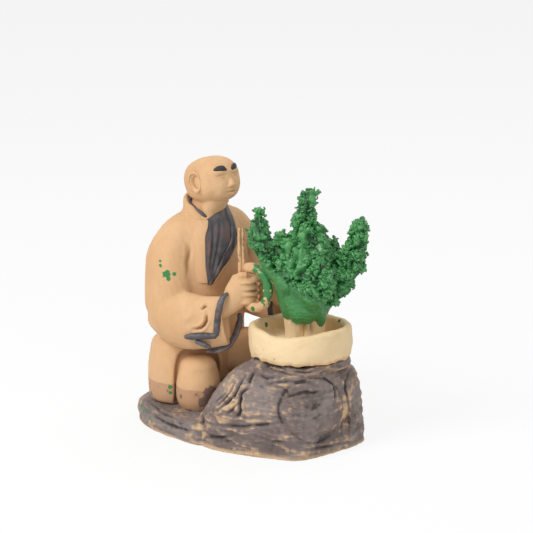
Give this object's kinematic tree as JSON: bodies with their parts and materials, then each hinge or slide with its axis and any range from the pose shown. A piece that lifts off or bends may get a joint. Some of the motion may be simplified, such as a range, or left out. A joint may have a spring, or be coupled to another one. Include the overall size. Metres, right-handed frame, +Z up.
{
  "type": "okimono figurine",
  "caption": "Partly glazed clay figurine: a robed man kneels on a rock and trims a miniature tree in a round pot with loop-handled shears.",
  "frame": {"origin": "on the ground under the middle of the bounding box", "axes": "+X from the kneeling man toward the potted tree, +Y to the man's left, +Z up"},
  "size_m": [0.0962, 0.0592, 0.1096],
  "materials": {
    "robe_clay": "matte unglazed buff terracotta, darker at the hem",
    "skin_clay": "smooth matte unglazed buff terracotta",
    "dark_slip": "slate grey slip rubbed through to the clay on ridges",
    "shoe_clay": "slate grey slip",
    "brow_paint": "matte near-black slip",
    "rock_clay": "slate brown wash over tan clay, worn pale on edges",
    "pot_clay": "cream bisque with fine grain and pinholes",
    "trunk_clay": "cream bisque",
    "green_glaze": "emerald green glaze over crumbly clay",
    "tool_clay": "buff terracotta with green glaze splashes"
  },
  "bodies": {
    "root": {"base_slab": "rock_clay", "boulder": "rock_clay", "boulder_front_patch": "rock_clay", "boulder_flank_strap": "rock_clay", "boulder_corner_strip": "rock_clay", "pot": "pot_clay", "pot_seat_clay": "rock_clay", "soil_mound": "trunk_clay", "trunk_left": "trunk_clay", "trunk_right": "trunk_clay", "foliage_heart": "green_glaze", "foliage_spire": "green_glaze", "foliage_left_spur": "green_glaze", "foliage_right_spur": "green_glaze", "foliage_front_lobe": "green_glaze", "foliage_near_lobe": "green_glaze", "foliage_low_lobe": "green_glaze", "foliage_back_lobe": "green_glaze", "foliage_far_lobe": "green_glaze", "body_front_shell": "robe_clay", "body_back_shell": "robe_clay", "right_haunch": "robe_clay", "left_haunch": "robe_clay", "right_knee": "robe_clay", "left_leg": "robe_clay", "left_shoe": "shoe_clay", "right_shoe": "shoe_clay", "right_sleeve": "robe_clay", "left_sleeve": "robe_clay", "right_hand": "skin_clay", "left_hand": "skin_clay", "shears_loop": "tool_clay", "shears_near_blade": "tool_clay", "shears_far_blade": "tool_clay", "right_cuff_near_coil": "dark_slip", "right_cuff_far_band": "dark_slip", "left_cuff_coil": "dark_slip", "right_cuff_lower_coil": "dark_slip", "right_cuff_tuck": "dark_slip", "under_robe_right": "dark_slip", "under_robe_left": "dark_slip", "lapel_right": "robe_clay", "lapel_left": "robe_clay", "head": "skin_clay", "ear_right": "skin_clay", "brow_right": "brow_paint", "ear_left": "skin_clay", "brow_left": "brow_paint", "collar_back": "robe_clay"}
  },
  "joints": []
}
